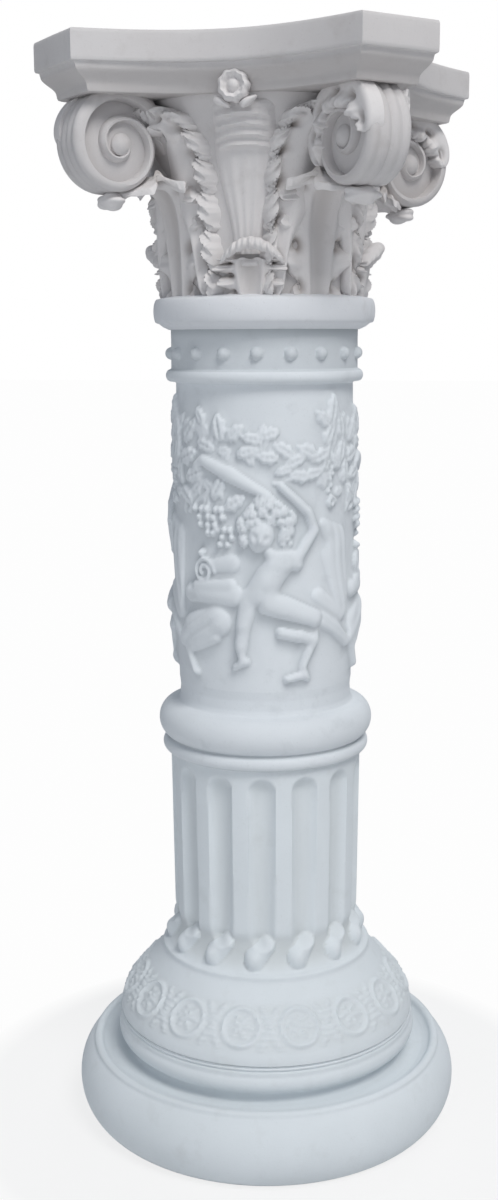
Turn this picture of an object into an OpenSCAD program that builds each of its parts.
// Ornamental pedestal column, cast in three pieces that stand on one another:
// a flared base with a fluted drum, a drum with figures in relief, and a capital
// with corner scrolls. Millimetres, +Z up, origin in the middle of the underside.
// The front face of the square top looks along -Y.

/* [Overall] */
// Full height, floor to the top of the capital
column_h = 1200; // [1140:10:1440]
// Diameter of the fluted drum just under the belt
shaft_d = 219; // [196:1:232]
// Diameter of the foot at its widest
foot_d = 446; // [410:1:536]
// Width of the top across two opposite cut corners
abacus_w = 494; // [470:2:540]

/* [Base] */
// Height of the foot roll
foot_h = 86; // [78:1:92]
// Height of the rim of the bell above the floor
rim_z = 103; // [100:1:110]
// Diameter of the rim of the bell
rim_d = 352; // [330:2:368]
// Height at which the bell runs into the fluted drum
bell_top_z = 239; // [232:1:256]
// Number of flutes round the drum
flute_n = 14; // [10:1:16]
// Radius of the round cutter that makes a flute
flute_r = 18; // [14:0.5:19]
// Depth of a flute
flute_deep = 7.5; // [4:0.5:9]

/* [Relief drum] */
// Height of the belt and the figure drum together
drum_h = 476; // [440:2:520]
// How far the figures stand out of the drum
relief = 9; // [5:0.5:12]
// Number of figures round the drum
figure_n = 3; // [2:1:4]
// Number of beads round the neck
bead_n = 18; // [12:1:20]
// Radius of a bead
bead_r = 7; // [5:0.5:9]

/* [Capital] */
// Height of the capital with its ring
capital_h = 287; // [276:1:296]
// Height of the plain band round the top slab
fascia_h = 30; // [22:1:34]
// Width of a cut corner
corner_cut = 90; // [70:2:104]
// How far each side of the top slab curves in at its middle
side_hollow = 45; // [30:1:54]
// Radius of a corner scroll
scroll_r = 54; // [45:1:56]
// Width of a corner scroll's band
scroll_w = 52; // [40:1:60]
// Half width of a corner leaf at its widest
leaf_w = 50; // [38:1:54]

/* [Hidden] */
$fn = 96;
white = [0.86, 0.87, 0.87];

foot_r = foot_d / 2;
rim_r = rim_d / 2;
shaft_r = shaft_d / 2;
shaft_low_r = shaft_r - 2.5;
ring_z = column_h - capital_h;
belt_z = ring_z - drum_h;
flute_turn = 11.2;
bead_turn = 8.8;
figure_turn = 14;

// ---- shared shapes ----

// Points of an ellipse arc round (r, z) from angle a0 to a1
function arc(r, z, ar, az, a0, a1, steps) =
    [for (i = [0:steps]) let (a = a0 + (a1 - a0) * i / steps) [r + ar * cos(a), z + az * sin(a)]];

// Rises smoothly from 0 to 1
function ease(t) = (1 - cos(180 * max(0, min(1, t)))) / 2;

// A solid laid through closed loops of points, all with the same number of points.
// Ends that aren't flat are closed by strips between the loop's two halves.
module loft(loops, flat_ends = true) {
    n = len(loops[0]);
    m = len(loops);
    points = [for (loop = loops) each loop];
    sides = [for (i = [0:m - 2], j = [0:n - 1]) let (k = (j + 1) % n)
        each [[i * n + j, (i + 1) * n + j, (i + 1) * n + k], [i * n + j, (i + 1) * n + k, i * n + k]]];
    first = [[for (j = [0:n - 1]) j]];
    last = [[for (j = [n - 1:-1:0]) (m - 1) * n + j]];
    first_strips = [for (j = [0:n / 2 - 2]) let (b = n - 1 - j) each [[j, j + 1, b], [j + 1, b - 1, b]]];
    last_strips = [for (f = first_strips) [for (i = [2:-1:0]) f[i] + (m - 1) * n]];
    ends = flat_ends ? concat(first, last) : concat(first_strips, last_strips);
    polyhedron(points, concat(ends, sides), convexity = 6);
}

module ring_of(count, turn) {
    for (i = [0:count - 1])
        rotate([0, 0, turn + i * 360 / count]) children();
}

// ---- base: foot, bell, rope collar and fluted drum ----

foot_roll = 34;
lip_r = foot_r - 22;
lip_z = foot_h - 6;
cove_r = rim_r - 15;
cove_z = lip_z - 5;
rim_under_z = rim_z - 12;
groove_z = rim_z + 15;
bell_z = rim_z + 20;

function bell_radius(z) =
    let (t = (bell_top_z - z) / (bell_top_z - bell_z))
    shaft_low_r + (rim_r - 3 - shaft_low_r) * ease(pow(max(0, t), 1.15));

foot_mid_z = foot_h / 2 - 2;
foot_sink = asin(foot_mid_z / (foot_mid_z + 4));

// The foot's round edge is cut off flat where it meets the floor
function foot_profile() = concat(
    [[0, 0], [foot_r - foot_roll + foot_roll * cos(foot_sink), 0]],
    arc(foot_r - foot_roll, foot_mid_z, foot_roll, foot_mid_z + 4, 4 - foot_sink, 62, 14),
    arc(lip_r, lip_z, 6, 6, 40, 160, 5)
);

function cove_profile() = concat(
    [[lip_r - 12, cove_z], [cove_r + 8, cove_z]],
    arc(cove_r + 12, (cove_z + rim_under_z) / 2, 12, (rim_under_z - cove_z) / 2, 230, 120, 6)
);

function rim_profile() = concat(
    arc(rim_r - 8, rim_z - 2, 8, 11, -70, 50, 6),
    [[rim_r - 3, groove_z - 4], [rim_r - 4.5, groove_z - 3], [rim_r - 3, groove_z - 2]],
    [[rim_r - 3, groove_z], [rim_r - 4.5, groove_z + 1], [rim_r - 3, groove_z + 2]]
);

function bell_profile() =
    [for (i = [0:18]) let (z = bell_z + (bell_top_z - bell_z) * i / 18) [bell_radius(z), z]];

module base_body() {
    rotate_extrude()
        polygon(concat(
            foot_profile(), cove_profile(), rim_profile(), bell_profile(),
            [[shaft_r, belt_z], [0, belt_z]]
        ));
}

// A long round-ended cutter, half sunk in the drum
module flute() {
    low = bell_top_z + 6;
    high = belt_z - 8 - flute_r;
    translate([0, -(shaft_low_r + flute_r - flute_deep), 0]) {
        translate([0, 0, low]) cylinder(r = flute_r, h = high - low);
        translate([0, 0, low]) sphere(r = flute_r);
        translate([0, 0, high]) sphere(r = flute_r);
    }
}

// One slanting lump of the rope collar
module rope_lump() {
    lump_r = 10;
    lump_l = 17;
    translate([0, -(shaft_low_r - 1), bell_top_z - 22])
        rotate([-14, 34, 0]) {
            translate([0, 0, -lump_l / 2]) cylinder(r = lump_r, h = lump_l);
            translate([0, 0, -lump_l / 2]) sphere(r = lump_r);
            translate([0, 0, lump_l / 2]) sphere(r = lump_r);
        }
}

module ridge_ring() {
    ridge_z = bell_top_z - 45;
    translate([0, 0, ridge_z])
        rotate_extrude()
            polygon([[60, -8], [bell_radius(ridge_z) + 1, -5], [bell_radius(ridge_z) + 3, 0],
                [bell_radius(ridge_z) + 1, 4], [60, 6]]);
}

module base() {
    color(white) {
        difference() {
            base_body();
            ring_of(flute_n, flute_turn) flute();
        }
        ridge_ring();
        ring_of(flute_n, flute_turn) rope_lump();
    }
}

// ---- relief drum: belt, figures and beaded neck ----

drum_r = shaft_r - 10;
belt_h = 86;
neck_h = 86;
relief_z = belt_z + belt_h;
relief_h = drum_h - belt_h - neck_h;
neck_r = drum_r + 4;
bead_z = ring_z - 26;

function belt_profile() = concat(
    [[0, belt_z], [shaft_r + 3, belt_z]],
    arc(shaft_r + 2, belt_z + 8, 7, 7.5, -80, 80, 8),
    arc(shaft_r - 3, belt_z + 36, 16, 20, -74, 84, 14),
    [[drum_r - 1, belt_z + 62], [drum_r - 2, belt_z + 78], [drum_r - 1, relief_z + 1], [0, relief_z + 1]]
);

function neck_profile() = concat(
    [[0, relief_z + relief_h - 1], [drum_r - 1, relief_z + relief_h - 1], [drum_r, ring_z - 58]],
    arc(neck_r + 1, ring_z - 50.5, 5, 6, -80, 80, 8),
    [[neck_r, ring_z - 42], [neck_r, ring_z], [0, ring_z]]
);

// A limb or fold: from a to b, thick r0 at a and r1 at b, in (sideways, up) on the unrolled drum,
// drawn for a band limbs_h tall and stretched to the band's own height
limbs_h = 304;
figure_limbs = [
    [[-6, 190], [16, 192], 23, 22],
    [[12, 160], [8, 142], 16, 18],
    [[4, 138], [0, 118], 19, 20],
    [[30, 148], [54, 182], 9, 8],
    [[54, 182], [14, 226], 8, 6],
    [[2, 217], [-66, 252], 6, 13],
    [[-18, 120], [-24, 80], 14, 10],
    [[-24, 80], [-23, 48], 9, 7],
    [[-20, 44], [-34, 38], 8, 6],
    [[6, 104], [52, 92], 17, 14],
    [[12, 71], [50, 58], 10, 8],
    [[50, 56], [43, 34], 7, 6],
    [[36, 24], [52, 21], 7, 6],
    [[57, 85], [110, 50], 8, 6],
    [[-94, 112], [-34, 108], 11, 14],
    [[-54, 78], [-100, 58], 20, 17],
    [[-74, 134], [-70, 178], 16, 20],
    [[-42, 172], [-50, 178], 14, 12],
    [[-98, 240], [-92, 284], 12, 13],
    [[-30, 268], [20, 262], 14, 15],
    [[42, 250], [64, 262], 15, 14],
    [[80, 214], [86, 304], 13, 17],
    [[90, 158], [92, 100], 14, 12]
];

function along(p, a, b) = max(0, min(1, (p - a) * (b - a) / ((b - a) * (b - a))));

function limb_height(p, limb) =
    let (t = along(p, limb[0], limb[1]))
    let (d = norm(p - limb[0] - t * (limb[1] - limb[0])))
    let (r = limb[2] + t * (limb[3] - limb[2]))
    d < r ? sqrt(1 - pow(d / r, 2)) * min(1, r / 14) : 0;

function relief_radius(angle, up) =
    let (pitch = 360 / figure_n)
    let (a = angle - pitch * round(angle / pitch))
    let (p = [a * PI / 180 * drum_r * figure_n / 3, up * limbs_h / relief_h])
    drum_r + relief * max([for (limb = figure_limbs) limb_height(p, limb)]);

module figures() {
    rows = 20;
    cols = 40;
    loft([for (i = [0:rows]) let (up = relief_h * i / rows)
        [for (j = [0:cols - 1]) let (a = j * 360 / cols, r = relief_radius(a, up))
            [r * sin(a), -r * cos(a), relief_z + up]]]);
}

module relief_drum() {
    color(white) {
        rotate_extrude() polygon(belt_profile());
        rotate([0, 0, figure_turn]) figures();
        rotate_extrude() polygon(neck_profile());
        ring_of(bead_n, bead_turn)
            translate([0, -neck_r - 1, bead_z]) sphere(r = bead_r);
    }
}

// ---- capital: ring, bell, leaves, scrolls and the square top slab ----

corner_r = abacus_w / 2;
top_z = column_h;
slab_z = top_z - fascia_h;
moulding_h = 27;
ring_h = 36;
leaf_root_r = neck_r + 3;
leaf_rise = 110;
low_leaf_rise = 52;
low_leaf_reach = 36;
low_leaf_share = 0.72;
leaf_thick = 11;
eye_r = corner_r - 65;
eye_z = top_z - 107;
eye_button_r = 9;
vase_z = ring_z + ring_h;
vase_h = slab_z - 12 - vase_z;
tongue_foot = 28;
tongue_gap = 8;
tongue_stand = 4;
rib_pitch = 11;
rib_half_w = 25;

function ring_profile() = concat(
    [[0, ring_z], [neck_r + 2, ring_z], [neck_r + 13, ring_z + 7]],
    arc(neck_r + 15, ring_z + 20, 4, 14, -60, 70, 3),
    [[neck_r - 1, vase_z], [neck_r - 3, vase_z + 6], [0, vase_z + 6]]
);

function vase_radius(t) = neck_r - 3 + 10 * t + 34 * pow(t, 4);

// One side of the slab's outline, from cut corner to cut corner, drawn in by inset
function slab_side(inset) =
    let (d = corner_r - inset, c = corner_cut / 2 - inset * 0.4)
    let (x = (d - c) / sqrt(2), y = (d + c) / sqrt(2))
    let (s = side_hollow)
    [for (i = [0:6]) let (t = -1 + i / 3) [t * x, -y + s * (1 - t * t) * (1 - 0.12 * t * t)]];

function slab_outline(inset, z) =
    [for (k = [0:3]) each [for (p = slab_side(inset))
        [p[0] * cos(90 * k) - p[1] * sin(90 * k), p[0] * sin(90 * k) + p[1] * cos(90 * k), z]]];

module slab() {
    steps = 5;
    moulding = [for (i = [0:steps]) let (t = i / steps)
        slab_outline(6 + 15 * ease(t), slab_z - 3 - (moulding_h - 3) * t)];
    loft(concat(
        [slab_outline(25, slab_z - moulding_h)],
        [for (i = [steps:-1:0]) moulding[i]],
        [slab_outline(0, slab_z), slab_outline(0, top_z)]
    ));
}

// A leaf: its spine leaves the vase at foot_z, climbs by rise and reaches out to reach
function spine(v, root, reach, foot_z, rise) =
    [root + 16 * v + (reach - root - 16) * pow(v, 4), foot_z + rise * sin(125 * v)];

// Lobes along the edge of a leaf make its outline scalloped
function leaf_half(v, w) = w * (0.55 + 0.45 * sin(150 * v)) * (0.86 + 0.14 * abs(cos(180 * 2.5 * v)))
    * (v > 0.72 ? 1 - 2.4 * (v - 0.72) : 1);

function leaf_loop(v, w, root, reach, foot_z, rise) =
    let (p = spine(v, root, reach, foot_z, rise), q = spine(v + 0.01, root, reach, foot_z, rise))
    let (t = (q - p) / norm(q - p), half = leaf_half(v, w))
    let (across = [for (i = [-2:2]) i / 2])
    let (thick = leaf_thick * (1 - 0.45 * v))
    let (outer = [for (u = across) [p[0] - 9 * u * u * (1 - v) + 2 * abs(u) - 3 * (u == 0 ? 1 : 0), u]])
    concat(
        [for (o = outer) let (a = o[1] * half / p[0] * 180 / PI)
            [o[0] * cos(a), o[0] * sin(a), p[1]]],
        [for (i = [4:-1:0]) let (o = outer[i], a = o[1] * half / p[0] * 180 / PI)
            let (r = o[0] - thick * t[1], z = p[1] + thick * t[0])
            [r * cos(a), r * sin(a), z]]
    );

module leaf(w, root, reach, foot_z, rise) {
    steps = 9;
    loft([for (i = [0:steps]) leaf_loop(i / steps, w, root, reach, foot_z, rise)], false);
}

// The scroll's band: radius shrinks as it turns; drawn in the upright plane of the corner
function scroll_band_r(s) = scroll_r * (1 - 0.72 * pow(s, 1.7));

function scroll_loop(s) =
    let (a = 205 - 590 * s, r = scroll_band_r(s), w = scroll_w / 2 * (1 - 0.1 * s), thick = 10 - 3 * s)
    [for (c = [[r, -w], [r - thick, -w], [r - thick, w], [r, w]])
        [eye_r + c[0] * cos(a), c[1], eye_z + c[0] * sin(a)]];

module scroll() {
    steps = 17;
    loft([for (i = [0:steps]) scroll_loop(i / steps)]);
    translate([eye_r, 0, eye_z]) rotate([90, 0, 0]) {
        cylinder(r = scroll_r - 8, h = scroll_w - 18, center = true, $fn = 14);
        cylinder(r = eye_button_r, h = scroll_w + 4, center = true, $fn = 8);
    }
    hull() {
        translate([eye_r - 22, 0, eye_z - 6])
            cube([10, scroll_w - 11, 62], center = true);
        translate([neck_r, 0, eye_z - 76])
            cube([10, scroll_w - 22, 40], center = true);
    }
    hull() {
        translate([eye_r - 6, 0, slab_z - moulding_h])
            cube([70, scroll_w - 12, 12], center = true);
        translate([eye_r, 0, eye_z])
            cube([50, scroll_w - 20, 20], center = true);
    }
}

// Raised tongue between two corner leaves, with three ribs across its top
module tongue() {
    low = vase_z + tongue_foot;
    high = slab_z - moulding_h - tongue_gap;
    steps = 5;
    loft([for (i = [0:steps]) let (t = i / steps, z = low + (high - low) * t, w = 17 * (1 + t * t))
        let (r = vase_radius((z - vase_z) / vase_h) + tongue_stand)
        [[r - 30, -w, z], [r - 2, -w, z], [r + 1, -w / 2, z], [r + 1, w / 2, z], [r - 2, w, z],
            [r - 30, w, z]]]);
    for (i = [0:2]) {
        z = eye_z + 4 + rib_pitch * i;
        r = vase_radius((z - vase_z) / vase_h) + tongue_stand + 1;
        hull()
            for (side = [-1:1])
                translate([r - 4 * abs(side), rib_half_w * side, z - 5 * abs(side)])
                    rotate([0, 45, 0]) cube([8, 2, 8], center = true);
    }
}

// Round flower on the moulding at the middle of a side
module rosette() {
    flower_r = 11;
    out = (corner_r + corner_cut / 2) / sqrt(2) - side_hollow - 14;
    translate([out, 0, slab_z - moulding_h / 2 - 8]) rotate([0, 86, 0]) {
        rotate_extrude($fn = 12) translate([flower_r, 0]) circle(r = 4.5, $fn = 5);
        cylinder(r = flower_r, h = 6, center = true, $fn = 12);
        sphere(r = 5, $fn = 6);
    }
}

module vase() {
    steps = 4;
    rotate_extrude($fn = 32)
        polygon(concat(
            [[0, vase_z], [neck_r - 4, vase_z]],
            [for (i = [1:steps]) let (t = i / steps) [vase_radius(t), vase_z + vase_h * t]],
            [[0, vase_z + vase_h]]
        ));
}

module capital() {
    color(white) {
        rotate_extrude($fn = 40) polygon(ring_profile());
        vase();
        slab();
        for (k = [0:3]) {
            rotate([0, 0, 45 + 90 * k]) {
                scroll();
                leaf(leaf_w, leaf_root_r, eye_r + 8, vase_z, leaf_rise);
            }
            rotate([0, 0, 90 * k]) {
                tongue();
                rosette();
                leaf(leaf_w * low_leaf_share, leaf_root_r, neck_r + low_leaf_reach, vase_z, low_leaf_rise);
            }
        }
    }
}

capital();
relief_drum();
base();
